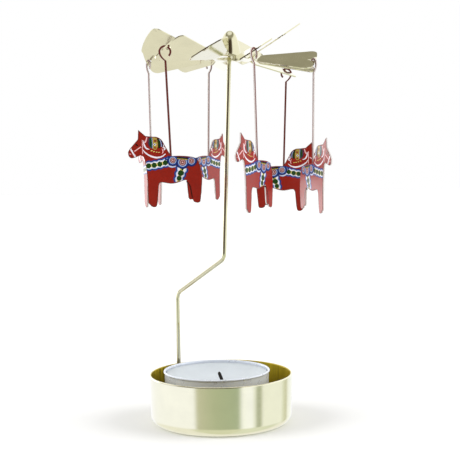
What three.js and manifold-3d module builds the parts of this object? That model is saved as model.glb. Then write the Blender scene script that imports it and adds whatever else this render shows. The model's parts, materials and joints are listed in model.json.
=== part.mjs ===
// Rotating candle holder. A brass cup holds a tealight, and a bent wire post stands in the cup.
// A sheet wheel balances on the post's needle point, and warm air on its twisted blades turns it.
// A painted sheet horse hangs from every second blade.
// Millimetres, +Z up. The origin is the middle of the cup's underside, and the photo looks along +Y.

import * as THREE from "three";
import { mergeVertices } from "three/addons/utils/BufferGeometryUtils.js";
import Module from "manifold-3d";

const wasm = await Module();
wasm.setup();

const radians = THREE.MathUtils.degToRad;

// Candle cup
const CUP_DIAMETER = 51;
const CUP_DRAFT = 0.4;
const CUP_HEIGHT = 17.2;
const CUP_WALL = 0.7;
const CUP_CORNER = 3;

// Post: one wire. Its upper part stands beside the cup's axis and leans along X, with angles in degrees.
const WIRE = 1.45;
const POST_ANGLE = 133;
const POST_LEAN = 2.3;
const POST_OFFSET = 1.8;
const POST_LOW_BEND = 44;
const POST_HIGH_BEND = 58;
const POST_BEND_RADIUS = 3.5;
const POST_HEIGHT = 137.6;
const NEEDLE_LENGTH = 5;
const NEEDLE_TIP = 0.4;

// Tube on the cup's wall that the post stands in
const SOCKET_WALL = 0.5;
const SOCKET_HEIGHT = 8;
const SOCKET_CLEARANCE = 0.25;

// Rotor: one stamped sheet, with angles in degrees
const ROTOR_DIAMETER = 61.6;
const ROTOR_SHEET = 0.4;
const ROTOR_TURN = -135;
const BLADES = 12;
const BLADE_TWIST = 30;
const BLADE_CORNER = 2;
const BLADE_SLIT = 0.5;
const HUB_DIAMETER = 17;
const NECK_LENGTH = 2.5;
const NECK_OVERLAP = 0.6;
const DOME_DIAMETER = 8.6;
const DOME_HEIGHT = 10;
const DOME_FLARE = 0.86;
const DOME_FLARE_HEIGHT = 2.45;
const DOME_FULLNESS = 0.7;
const DOME_BLUNTNESS = 0.45;
const PIVOT_GAP = 0.3;

// Blades that have been bent at the hub: the blade's number, how far up and how far round, in degrees
const BENT_BLADES = new Map([[0, [2, 0]], [2, [0, 4]], [3, [23.5, -2.5]], [4, [-1.5, 0]], [6, [-3.5, -6]],
  [7, [23, 0]], [8, [5.5, -6]], [9, [3, 0]], [10, [-2, 0]], [11, [13, 0]]]);

// Charms: one sheet each, hooked through a hole in a blade. Each is turned from its blade by an angle
// and swung round on its hook by its own, in degrees.
const CHARM_SHEET = 0.5;
const CHARM_TURN = -45;
const CHARM_SWINGS = [0, -2, -10, 0, -2, -8];
const HORSE_LENGTH = 23.6;
const STEM_LENGTH = 31;
const STEM_WIDTH = 0.7;
const STEM_LEAN = 2.7;
const STEM_SINK = 0.4;
const HOOK_STROKE = 0.65;
const HOOK_RADIUS = 1.5;
const HOOK_TAIL = 3;
const HOOK_OPENING = 50;
const HOOK_GAP = 0.25;
const HOLE_CLEARANCE = 0.58;
const HOLE_WEB = 0.35;

// Tealight: it stands a gap away from the tube, turned about the tube from the cup's axis by degrees
const TEALIGHT_DIAMETER = 38;
const TEALIGHT_DRAFT = 0.5;
const TEALIGHT_HEIGHT = 17.4;
const TEALIGHT_FOIL = 0.3;
const TEALIGHT_BEAD = 0.8;
const TEALIGHT_BEAD_START = -60;
const TEALIGHT_GAP = 1;
const TEALIGHT_TURN = -2.3;
const WAX_DROP = 4;
const WAX_CLIMB = 3;
const WICK = 1.2;
const WICK_OFFSET = 1.85;
const WICK_RISE = 3.2;
const WICK_LEAN = 20;
const WICK_BEND_RADIUS = 2;
const CLIP_DIAMETER = 12;
const CLIP_HEIGHT = 3;
const CLIP_WALL = 0.4;

// Gap between pieces that rest on each other
const SEAT_GAP = 0.25;

// Facets
const ROUND_STEPS = 48;
const SMALL_ROUND_STEPS = 20;
const DOME_STEPS = 36;
const WIRE_SIDES = 12;
const BEND_STEPS = 6;
const ARC_STEPS = 4;
const OUTLINE_STEPS = 2;
const NECK_STEPS = 4;

// Sizes that follow from those above
const CUP_BASE = CUP_DIAMETER / 2 - CUP_DRAFT;
const CUP_INSIDE = CUP_BASE - CUP_WALL;
const SOCKET_BORE = WIRE / 2 + SOCKET_CLEARANCE;
const SOCKET_RADIUS = SOCKET_BORE + SOCKET_WALL;
const POST_REACH = CUP_INSIDE - SEAT_GAP - SOCKET_RADIUS;
const POST_TOP = POST_OFFSET + (POST_HEIGHT - POST_HIGH_BEND) * Math.tan(radians(POST_LEAN));
const ROTOR_RADIUS = ROTOR_DIAMETER / 2;
const ROTOR_DROP = DOME_HEIGHT - 1.5 * ROTOR_SHEET - PIVOT_GAP;
const HUB_RADIUS = HUB_DIAMETER / 2;
const PLATE_START = HUB_RADIUS + NECK_LENGTH;
const HOLE_RADIUS = HOOK_STROKE / 2 + HOLE_CLEARANCE;
const HOLE_REACH = ROTOR_RADIUS - HOLE_WEB - HOLE_RADIUS;
const TEALIGHT_Z = CUP_WALL + SEAT_GAP;
const TEALIGHT_REACH = SOCKET_RADIUS + TEALIGHT_GAP + TEALIGHT_DIAMETER / 2;
const WAX_TOP = TEALIGHT_HEIGHT - WAX_DROP;

const brass = new THREE.MeshStandardMaterial({ color: 0xdeddb5, roughness: 0.15, metalness: 1 });
const satinBrass = new THREE.MeshStandardMaterial({ color: 0xe6e4bd, roughness: 0.3, metalness: 1 });
const lacquer = new THREE.MeshStandardMaterial({ color: 0x98220f, roughness: 0.25, metalness: 0 });
const foil = new THREE.MeshStandardMaterial({ color: 0xc9cbcd, roughness: 0.3, metalness: 1 });
const wax = new THREE.MeshStandardMaterial({ color: 0xd5dde3, roughness: 0.5, metalness: 0 });
const cotton = new THREE.MeshStandardMaterial({ color: 0x1a1816, roughness: 0.95, metalness: 0 });
const tinplate = new THREE.MeshStandardMaterial({ color: 0xb4b6b8, roughness: 0.35, metalness: 1 });

// A copy of a geometry with its shared corners merged and its collapsed triangles dropped.
function weld(geometry) {
  const bare = geometry.clone();
  bare.deleteAttribute("normal");
  bare.deleteAttribute("uv");
  const merged = mergeVertices(bare);
  const corners = merged.getIndex().array;
  const kept = [];
  for (let i = 0; i < corners.length; i += 3) {
    const [a, b, c] = corners.slice(i, i + 3);
    if (a !== b && b !== c && c !== a) kept.push(a, b, c);
  }
  merged.setIndex(kept);
  merged.computeVertexNormals();
  return merged;
}

// A closed geometry as a solid that can be joined with others.
function solid(geometry) {
  const welded = weld(geometry);
  return new wasm.Manifold(new wasm.Mesh({
    numProp: 3,
    vertProperties: new Float32Array(welded.getAttribute("position").array),
    triVerts: new Uint32Array(welded.getIndex().array),
  }));
}

// A solid as a geometry again.
function geometryOf(body) {
  const mesh = body.getMesh();
  const geometry = new THREE.BufferGeometry();
  geometry.setAttribute("position", new THREE.BufferAttribute(mesh.vertProperties, 3));
  geometry.setIndex(new THREE.BufferAttribute(mesh.triVerts, 1));
  geometry.computeVertexNormals();
  return geometry;
}

// A profile of radius and height turned about the Z axis.
function revolve(points, steps) {
  return weld(new THREE.LatheGeometry(points, steps).rotateX(Math.PI / 2));
}

// Matching rings of points skinned into one closed body. Each ring runs counter-clockwise
// when seen against the direction in which the rings follow each other.
function loft(rings) {
  const count = rings[0].length;
  const last = (rings.length - 1) * count;
  const corners = [];
  for (let start = 0; start < last; start += count) {
    for (let i = 0; i < count; i++) {
      const next = (i + 1) % count;
      corners.push(start + i, start + next, start + count + next);
      corners.push(start + i, start + count + next, start + count + i);
    }
  }
  for (let i = 1; i < count - 1; i++) {
    corners.push(0, i + 1, i);
    corners.push(last, last + i, last + i + 1);
  }
  const geometry = new THREE.BufferGeometry().setFromPoints(rings.flat());
  geometry.setIndex(corners);
  geometry.computeVertexNormals();
  return geometry;
}

// A line through corner points with its corners rounded, as points with the direction at each.
function bentPath(corners, radius) {
  const heading = (i) => corners[i + 1].clone().sub(corners[i]).normalize();
  const stations = [{ point: corners[0], direction: heading(0) }];
  for (let i = 1; i < corners.length - 1; i++) {
    const before = heading(i - 1);
    const turn = before.angleTo(heading(i));
    const axis = before.clone().cross(heading(i)).normalize();
    const spoke = before.clone().cross(axis).multiplyScalar(radius);
    const start = corners[i].clone().addScaledVector(before, -radius * Math.tan(turn / 2));
    for (let step = 0; step <= BEND_STEPS; step++) {
      const angle = turn * step / BEND_STEPS;
      const swing = spoke.clone().applyAxisAngle(axis, angle).sub(spoke);
      stations.push({ point: start.clone().add(swing), direction: before.clone().applyAxisAngle(axis, angle) });
    }
  }
  stations.push({ point: corners.at(-1), direction: heading(corners.length - 2) });
  return stations;
}

// A round wire along a path that starts upwards, thinner at its end if a tip is given.
function wireGeometry(stations, radius, tip = radius) {
  let side = new THREE.Vector3(1, 0, 0);
  return loft(stations.map(({ point, direction }, i) => {
    side = side.clone().addScaledVector(direction, -side.dot(direction)).normalize();
    const across = direction.clone().cross(side);
    const size = i < stations.length - 1 ? radius : tip;
    return Array.from({ length: WIRE_SIDES }, (_, k) => {
      const angle = 2 * Math.PI * k / WIRE_SIDES;
      const ring = point.clone().addScaledVector(side, size * Math.cos(angle));
      return ring.addScaledVector(across, size * Math.sin(angle));
    });
  }));
}

// The profile moved sideways by a distance, to the left of its direction for a positive one.
function offsetProfile(points, distance) {
  return points.map((point, i) => {
    const from = points[Math.max(i - 1, 0)];
    const to = points[Math.min(i + 1, points.length - 1)];
    const along = to.clone().sub(from).normalize();
    return new THREE.Vector2(point.x - along.y * distance, point.y + along.x * distance);
  });
}

// Height of the cup's inner surface at a distance from its middle.
function cupFloor(radius) {
  const flat = CUP_BASE - CUP_CORNER;
  const curve = CUP_CORNER - CUP_WALL;
  if (radius <= flat) return CUP_WALL;
  return CUP_CORNER - Math.sqrt(curve ** 2 - (radius - flat) ** 2);
}

// Drawn cup: flat floor, round corner, a wall that leans out a little and a round rim.
function cupGeometry() {
  const outside = CUP_DIAMETER / 2;
  const flat = CUP_BASE - CUP_CORNER;
  const lip = CUP_WALL / 2;
  const profile = new THREE.Path();
  profile.moveTo(0, 0);
  profile.lineTo(flat, 0);
  profile.absarc(flat, CUP_CORNER, CUP_CORNER, -Math.PI / 2, 0);
  profile.absarc(outside - lip, CUP_HEIGHT - lip, lip, 0, Math.PI);
  profile.absarc(flat, CUP_CORNER, CUP_CORNER - CUP_WALL, 0, -Math.PI / 2, true);
  profile.lineTo(0, CUP_WALL);
  return revolve(profile.getPoints(ARC_STEPS), ROUND_STEPS);
}

function socketGeometry() {
  const low = CUP_CORNER + SEAT_GAP;
  const high = low + SOCKET_HEIGHT;
  const profile = [
    new THREE.Vector2(SOCKET_BORE, low),
    new THREE.Vector2(SOCKET_RADIUS, low),
    new THREE.Vector2(SOCKET_RADIUS, high),
    new THREE.Vector2(SOCKET_BORE, high),
    new THREE.Vector2(SOCKET_BORE, low),
  ];
  return revolve(profile, SMALL_ROUND_STEPS);
}

// Needle point, and the direction of the post's upper part, which is also the rotor's axis.
const NEEDLE = new THREE.Vector3(POST_TOP, 0, POST_HEIGHT);
const UPPER_BEND = new THREE.Vector3(POST_OFFSET, 0, POST_HIGH_BEND);
const AXIS = NEEDLE.clone().sub(UPPER_BEND).normalize();

// Foot of the post, in its tube at the cup's wall.
const FOOT = new THREE.Vector3(POST_REACH, 0, cupFloor(POST_REACH + WIRE / 2) + SEAT_GAP);
FOOT.applyAxisAngle(new THREE.Vector3(0, 0, 1), radians(POST_ANGLE));

// Wire post: up out of the cup, across to the middle, and up again to the needle point.
function postGeometry() {
  const stations = bentPath([
    FOOT,
    FOOT.clone().setZ(POST_LOW_BEND),
    UPPER_BEND,
    NEEDLE.clone().addScaledVector(AXIS, -NEEDLE_LENGTH),
  ], POST_BEND_RADIUS);
  stations.push({ point: NEEDLE, direction: AXIS });
  return wireGeometry(stations, WIRE / 2, NEEDLE_TIP / 2);
}

// Place of the rotor: its hub lies below the needle point, square to the post's upper part.
const WHEEL = new THREE.Matrix4().makeTranslation(NEEDLE.clone().addScaledVector(AXIS, -ROTOR_DROP));
WHEEL.multiply(new THREE.Matrix4().makeRotationY(radians(POST_LEAN)));

// Half the width of a flat blade at a distance from the rotor's axis.
function bladeHalfWidth(reach) {
  const half = Math.PI / BLADES;
  return reach * Math.tan(half) - BLADE_SLIT / 2 / Math.cos(half);
}

// Outline of a blade's flat part, seen from above, with the rotor's axis at the origin.
function bladeShape(hasHole) {
  const half = Math.PI / BLADES;
  const square = half + Math.PI / 2;
  const reach = ROTOR_RADIUS - BLADE_CORNER;
  const swing = half - Math.asin((BLADE_SLIT / 2 + BLADE_CORNER) / reach);
  const corner = new THREE.Vector2(reach, 0).rotateAround(new THREE.Vector2(), swing);
  const shape = new THREE.Shape();
  shape.moveTo(PLATE_START, bladeHalfWidth(PLATE_START));
  shape.lineTo(PLATE_START, -bladeHalfWidth(PLATE_START));
  shape.absarc(corner.x, -corner.y, BLADE_CORNER, -square, -swing);
  shape.absarc(0, 0, ROTOR_RADIUS, -swing, swing);
  shape.absarc(corner.x, corner.y, BLADE_CORNER, swing, square);
  shape.closePath();
  if (hasHole) {
    const hole = new THREE.Path();
    hole.absarc(HOLE_REACH, 0, HOLE_RADIUS, 0, 2 * Math.PI);
    shape.holes.push(hole);
  }
  return shape;
}

// Frame of a blade's middle line at a share of the neck: it rises and twists from the hub's edge on.
// X runs outwards, Y across to the high side and Z out of the upper face.
function neckFrame(blade, share) {
  const [up, round] = BENT_BLADES.get(blade) ?? [0, 0];
  const rise = radians(up) * share;
  const twist = radians(BLADE_TWIST + round) * THREE.MathUtils.smoothstep(share, 0, 1);
  const run = NECK_LENGTH * share;
  const frame = new THREE.Matrix4().makeRotationZ(radians(ROTOR_TURN + 360 * blade / BLADES));
  frame.multiply(new THREE.Matrix4().makeTranslation(
    HUB_RADIUS + run * Math.cos(rise / 2), 0, run * Math.sin(rise / 2)));
  frame.multiply(new THREE.Matrix4().makeRotationY(-rise));
  return frame.multiply(new THREE.Matrix4().makeRotationX(twist));
}

// Flat end of a blade, in the rotor's frame.
function plateGeometry(blade) {
  const hasHole = blade % 2 === 0;
  const options = { depth: ROTOR_SHEET, bevelEnabled: false, curveSegments: ARC_STEPS };
  const geometry = new THREE.ExtrudeGeometry(bladeShape(hasHole), options);
  geometry.translate(-PLATE_START, 0, -ROTOR_SHEET / 2);
  return geometry.applyMatrix4(neckFrame(blade, 1));
}

// Twisted neck between the hub and the flat end, run a little way into both.
function neckGeometry(blade) {
  const section = (share, shift) => {
    const width = bladeHalfWidth(HUB_RADIUS + NECK_LENGTH * share + shift);
    const thick = ROTOR_SHEET / 2;
    const frame = neckFrame(blade, share);
    return [[-width, -thick], [width, -thick], [width, thick], [-width, thick]]
      .map(([across, up]) => new THREE.Vector3(shift, across, up).applyMatrix4(frame));
  };
  const rings = [section(0, -NECK_OVERLAP)];
  for (let step = 0; step <= NECK_STEPS; step++) {
    rings.push(section(step / NECK_STEPS, 0));
  }
  rings.push(section(1, NECK_OVERLAP));
  return loft(rings);
}

// Hub plate with its pressed dome, which flares at its foot and is blunt at its top.
function hubGeometry() {
  const radius = DOME_DIAMETER / 2;
  const foot = ROTOR_SHEET / 2;
  const top = DOME_HEIGHT - foot;
  const dome = new THREE.Path();
  dome.moveTo(HUB_RADIUS, foot);
  dome.lineTo(radius + DOME_FLARE, foot);
  dome.quadraticCurveTo(radius, foot, radius - DOME_FLARE / 2, DOME_FLARE_HEIGHT);
  dome.bezierCurveTo(radius * DOME_FULLNESS, top * DOME_FULLNESS, radius * DOME_BLUNTNESS, top, 0, top);
  const outside = dome.getPoints(ARC_STEPS + 1);
  const inside = offsetProfile(outside, ROTOR_SHEET);
  inside.at(-1).x = 0;
  return revolve([...inside.reverse(), ...outside], DOME_STEPS);
}

function rotorGeometry() {
  let body = solid(hubGeometry());
  for (let blade = 0; blade < BLADES; blade++) {
    body = body.add(solid(neckGeometry(blade)));
    body = body.add(solid(plateGeometry(blade)));
  }
  return geometryOf(body);
}

// Direction of a charm's nose, in radians from X.
function charmAngle(blade) {
  return radians(ROTOR_TURN + 360 * blade / BLADES + CHARM_TURN + CHARM_SWINGS[blade / 2]);
}

// Middle of a hook's bow. The bow hangs on the edge of the blade's hole, plumb below it and a gap away,
// round the narrow web between the hole and the blade's tip.
function hookCentre(blade) {
  const frame = WHEEL.clone().multiply(neckFrame(blade, 1));
  const hole = new THREE.Vector3(HOLE_REACH - PLATE_START, 0, 0).applyMatrix4(frame);
  const normal = new THREE.Vector3(0, 0, 1).transformDirection(frame);
  const along = new THREE.Vector3(Math.cos(charmAngle(blade)), Math.sin(charmAngle(blade)), 0);
  along.z = -normal.dot(along) / normal.z;
  along.normalize();
  const up = new THREE.Vector3(0, 0, 1).addScaledVector(along, -along.z).normalize();
  const edge = hole.addScaledVector(along, HOLE_RADIUS);
  edge.addScaledVector(up, ROTOR_SHEET / 2 / normal.dot(up));
  return edge.setZ(edge.z - HOOK_RADIUS + HOOK_GAP);
}

// Middle of the bow above the stem's foot.
const HOOK_HEIGHT = STEM_LENGTH + HOOK_TAIL;

// Horse with its stem and hook, drawn with the stem upright and its foot at the origin.
// X runs towards the nose. The horse's points are in hundredths of its length, with its hooves level.
function charmShape() {
  const at = (x, y) => {
    const point = new THREE.Vector2(x, y).multiplyScalar(HORSE_LENGTH / 100);
    return point.rotateAround(new THREE.Vector2(), radians(-STEM_LEAN));
  };
  const shape = new THREE.Shape();
  const line = (x, y) => {
    const point = at(x, y);
    shape.lineTo(point.x, point.y);
  };
  const curve = (...points) => shape.splineThru(points.map(([x, y]) => at(x, y)));
  const side = STEM_WIDTH / 2;

  // Back and hind legs
  shape.moveTo(-side, -STEM_SINK);
  curve([-12.7, -2.5], [-25.8, -4.7], [-34.3, -8.1], [-39, -16.1],
    [-40.7, -34.7], [-38.6, -50.8], [-35.6, -66.9]);
  curve([-34.3, -69.9], [-30.5, -70.8], [-25.8, -69.1]);
  line(-24.2, -65.3);
  line(-20.3, -65.3);
  line(-18.6, -62.3);
  line(-18.6, -38.1);

  // Belly, front legs and chest
  curve([-15.7, -37.3], [-5.5, -39.8], [3.8, -40.3], [17.4, -37.3], [21.2, -41.5]);
  line(24.6, -61.9);
  curve([27.1, -69.9], [31.8, -70.8], [34.7, -69.1]);
  line(37.3, -65.7);
  line(38.6, -64);
  curve([36.4, -34.7], [36, -18.6], [36.9, -8.1], [38.1, 0.4], [42.4, 3.4]);

  // Head, ear and neck
  curve([50, 1.3], [55.5, 0.8], [58.9, 4.2], [59.3, 9.7]);
  curve([55.5, 14.8], [44.1, 25.8]);
  line(43.6, 27.5);
  line(41.9, 39.4);
  line(32.6, 29.7);
  curve([23.3, 28], [16.5, 26.7], [10.6, 22], [7.2, 14.4], [3.8, 7.2]);
  shape.lineTo(side, STEM_SINK);

  // Stem, then round the bow and back inside it, open on the tail side
  const outer = HOOK_RADIUS + HOOK_STROKE;
  const waist = HOOK_HEIGHT - HOOK_TAIL / 2;
  const end = radians(180 + HOOK_OPENING);
  const bow = (radius, angle) => [radius * Math.cos(angle), HOOK_HEIGHT + radius * Math.sin(angle)];
  shape.lineTo(side, STEM_LENGTH);
  shape.quadraticCurveTo(outer, waist, outer, HOOK_HEIGHT);
  shape.absarc(0, HOOK_HEIGHT, outer, 0, end / 2);
  shape.absarc(0, HOOK_HEIGHT, outer, end / 2, end);
  shape.lineTo(...bow(HOOK_RADIUS, end));
  shape.absarc(0, HOOK_HEIGHT, HOOK_RADIUS, end, end / 2, true);
  shape.absarc(0, HOOK_HEIGHT, HOOK_RADIUS, end / 2, 0, true);
  shape.quadraticCurveTo(HOOK_RADIUS, waist, -side, STEM_LENGTH);
  shape.closePath();
  return shape;
}

// Centre of area of an outline.
function centreOf(points) {
  const sum = new THREE.Vector2();
  let area = 0;
  points.forEach((point, i) => {
    const next = points[(i + 1) % points.length];
    const part = point.cross(next);
    area += part;
    sum.addScaledVector(point.clone().add(next), part / 3);
  });
  return sum.divideScalar(area);
}

// Charm as it hangs: its bow is round the origin, its weight is below that, and the nose points along X.
function charmGeometry() {
  const shape = charmShape();
  const weight = centreOf(shape.getPoints(OUTLINE_STEPS));
  const hang = Math.atan2(weight.x, HOOK_HEIGHT - weight.y);
  const options = { depth: CHARM_SHEET, bevelEnabled: false, curveSegments: OUTLINE_STEPS };
  const geometry = new THREE.ExtrudeGeometry(shape, options);
  geometry.translate(0, -HOOK_HEIGHT, -CHARM_SHEET / 2);
  return weld(geometry.rotateZ(-hang).rotateX(Math.PI / 2));
}

// Distance from the tealight's middle to the outside of its wall, which leans out a little.
function tealightWall(height) {
  const top = TEALIGHT_DIAMETER / 2 - TEALIGHT_BEAD / 2;
  return THREE.MathUtils.lerp(TEALIGHT_DIAMETER / 2 - TEALIGHT_DRAFT, top, height / TEALIGHT_HEIGHT);
}

function tealightCupGeometry() {
  const bead = TEALIGHT_BEAD / 2;
  const rim = TEALIGHT_HEIGHT - bead;
  const neck = rim - bead;
  const profile = new THREE.Path();
  profile.moveTo(0, 0);
  profile.lineTo(tealightWall(0), 0);
  profile.lineTo(tealightWall(neck), neck);
  profile.absarc(TEALIGHT_DIAMETER / 2 - bead, rim, bead, radians(TEALIGHT_BEAD_START), Math.PI);
  profile.lineTo(tealightWall(neck) - TEALIGHT_FOIL, neck);
  profile.lineTo(tealightWall(TEALIGHT_FOIL) - TEALIGHT_FOIL, TEALIGHT_FOIL);
  profile.lineTo(0, TEALIGHT_FOIL);
  return revolve(profile.getPoints(ARC_STEPS), ROUND_STEPS);
}

// Heights of the wick's clip above the tealight's underside.
const CLIP_LOW = TEALIGHT_FOIL + SEAT_GAP;
const CLIP_PLATE = CLIP_LOW + CLIP_WALL;
const CLIP_TOP = CLIP_LOW + CLIP_HEIGHT;
const CLIP_BORE = WICK / 2 + SEAT_GAP;

// Room that the wick and its clip take up in the wax, with a gap round them.
function wickRoomGeometry() {
  const plate = CLIP_DIAMETER / 2 + SEAT_GAP;
  const tube = CLIP_BORE + CLIP_WALL + SEAT_GAP;
  const profile = [
    new THREE.Vector2(0, 0),
    new THREE.Vector2(plate, 0),
    new THREE.Vector2(plate, CLIP_PLATE + SEAT_GAP),
    new THREE.Vector2(tube, CLIP_PLATE + SEAT_GAP),
    new THREE.Vector2(tube, CLIP_TOP + SEAT_GAP),
    new THREE.Vector2(CLIP_BORE, CLIP_TOP + SEAT_GAP),
    new THREE.Vector2(CLIP_BORE, TEALIGHT_HEIGHT),
    new THREE.Vector2(0, TEALIGHT_HEIGHT),
  ];
  return revolve(profile, SMALL_ROUND_STEPS);
}

// Wax, cast round the wick and its clip. It sank as it cooled, so that it climbs to the foil like a bowl.
function waxGeometry() {
  const bottom = TEALIGHT_FOIL + SEAT_GAP;
  const brim = WAX_TOP + WAX_CLIMB;
  const edge = (height) => tealightWall(height) - TEALIGHT_FOIL - SEAT_GAP;
  const profile = new THREE.Path();
  profile.moveTo(0, bottom);
  profile.lineTo(edge(bottom), bottom);
  profile.lineTo(edge(brim), brim);
  profile.quadraticCurveTo(edge(brim) / 2, WAX_TOP, 0, WAX_TOP);
  const block = solid(revolve(profile.getPoints(ARC_STEPS), ROUND_STEPS));
  const room = solid(wickRoomGeometry().translate(WICK_OFFSET, 0, 0));
  return geometryOf(block.subtract(room));
}

// Wick, which leans to the left above the wax.
function wickGeometry() {
  const lean = radians(WICK_LEAN);
  const stations = bentPath([
    new THREE.Vector3(0, 0, CLIP_PLATE + SEAT_GAP),
    new THREE.Vector3(0, 0, WAX_TOP),
    new THREE.Vector3(-WICK_RISE * Math.sin(lean), 0, WAX_TOP + WICK_RISE * Math.cos(lean)),
  ], WICK_BEND_RADIUS);
  return wireGeometry(stations, WICK / 2);
}

// Round plate with a short tube that grips the wick.
function clipGeometry() {
  const profile = [
    new THREE.Vector2(0, CLIP_LOW),
    new THREE.Vector2(CLIP_DIAMETER / 2, CLIP_LOW),
    new THREE.Vector2(CLIP_DIAMETER / 2, CLIP_PLATE),
    new THREE.Vector2(CLIP_BORE + CLIP_WALL, CLIP_PLATE),
    new THREE.Vector2(CLIP_BORE + CLIP_WALL, CLIP_TOP),
    new THREE.Vector2(CLIP_BORE, CLIP_TOP),
    new THREE.Vector2(CLIP_BORE, CLIP_PLATE),
    new THREE.Vector2(0, CLIP_PLATE),
  ];
  return revolve(profile, SMALL_ROUND_STEPS);
}

function addPiece(group, name, geometry, material) {
  const mesh = new THREE.Mesh(geometry, material);
  mesh.name = name;
  group.add(mesh);
  return mesh;
}

const holder = new THREE.Group();
addPiece(holder, "candle_cup", cupGeometry(), satinBrass);

addPiece(holder, "post", postGeometry(), brass);
addPiece(holder, "post_socket", socketGeometry(), satinBrass).position.set(FOOT.x, FOOT.y, 0);

// The rotor stands on the needle point, and a charm hangs from every second blade.
addPiece(holder, "rotor", rotorGeometry().applyMatrix4(WHEEL), brass);
for (let blade = 0; blade < BLADES; blade += 2) {
  const charm = addPiece(holder, `horse_charm_${blade / 2 + 1}`, charmGeometry(), lacquer);
  charm.position.copy(hookCentre(blade));
  charm.rotation.z = charmAngle(blade);
}

// The tealight is placed from the tube.
const tealight = new THREE.Group();
const away = radians(POST_ANGLE + 180 + TEALIGHT_TURN);
tealight.position.set(TEALIGHT_REACH * Math.cos(away), TEALIGHT_REACH * Math.sin(away), TEALIGHT_Z);
tealight.position.x += FOOT.x;
tealight.position.y += FOOT.y;
addPiece(tealight, "tealight_cup", tealightCupGeometry(), foil);
addPiece(tealight, "tealight_wax", waxGeometry(), wax);
addPiece(tealight, "tealight_wick", wickGeometry(), cotton).position.x = WICK_OFFSET;
addPiece(tealight, "wick_clip", clipGeometry(), tinplate).position.x = WICK_OFFSET;
holder.add(tealight);

export default holder;
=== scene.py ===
"""Rotating candle holder: a brass cup with a tealight, a bent wire post, a sheet wheel and six painted horses."""

import json
import math
from types import SimpleNamespace

import bpy
from bpy.props import FloatProperty, FloatVectorProperty, PointerProperty
from mathutils import Matrix, Vector


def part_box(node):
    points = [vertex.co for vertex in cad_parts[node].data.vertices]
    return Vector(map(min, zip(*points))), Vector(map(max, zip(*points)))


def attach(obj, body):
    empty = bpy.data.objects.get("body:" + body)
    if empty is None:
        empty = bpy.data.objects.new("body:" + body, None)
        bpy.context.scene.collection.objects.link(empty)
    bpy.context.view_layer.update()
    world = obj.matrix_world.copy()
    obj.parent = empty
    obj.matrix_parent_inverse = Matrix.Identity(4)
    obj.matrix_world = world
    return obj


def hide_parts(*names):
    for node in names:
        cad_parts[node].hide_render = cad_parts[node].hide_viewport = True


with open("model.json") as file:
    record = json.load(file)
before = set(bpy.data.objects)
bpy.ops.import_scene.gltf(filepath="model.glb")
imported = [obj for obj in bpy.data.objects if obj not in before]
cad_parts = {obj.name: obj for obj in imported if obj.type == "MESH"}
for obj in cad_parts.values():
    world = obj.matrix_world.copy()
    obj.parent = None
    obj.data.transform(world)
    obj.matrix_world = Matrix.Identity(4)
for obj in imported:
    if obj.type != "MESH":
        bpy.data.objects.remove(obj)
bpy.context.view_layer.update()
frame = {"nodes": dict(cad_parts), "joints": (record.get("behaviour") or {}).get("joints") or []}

bl_info = {
    "name": "Rotating candle holder",
    "version": (1, 0, 0),
    "blender": (4, 5, 0),
    "location": "View3D > Sidebar > Candle holder",
    "description": "Builds a brass tealight holder whose wheel of horses turns in the warm air",
    "category": "Object",
}

# Pieces are drawn in millimetres and brought to metres when they are set in place.
MM = 0.001
JOINTS = {joint["name"]: joint for joint in frame["joints"]}


def linear(code):
    """Linear colour of an sRGB hex code."""
    levels = [int(code[i:i + 2], 16) / 255 for i in (1, 3, 5)]
    return tuple(level / 12.92 if level <= 0.04045 else ((level + 0.055) / 1.055) ** 2.4 for level in levels)


def length(name, description, millimetres):
    """A length that the user can change."""
    return FloatProperty(name=name, description=description, default=millimetres * MM, min=0.0, unit="LENGTH",
                         precision=5)


def angle(name, description, degrees):
    """An angle that the user can change."""
    return FloatProperty(name=name, description=description, default=math.radians(degrees), subtype="ANGLE")


def colour(name, description, code):
    """A colour that the user can change, from its sRGB hex code."""
    return FloatVectorProperty(name=name, description=description, default=linear(code), size=3, min=0.0, max=1.0,
                               subtype="COLOR")


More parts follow.
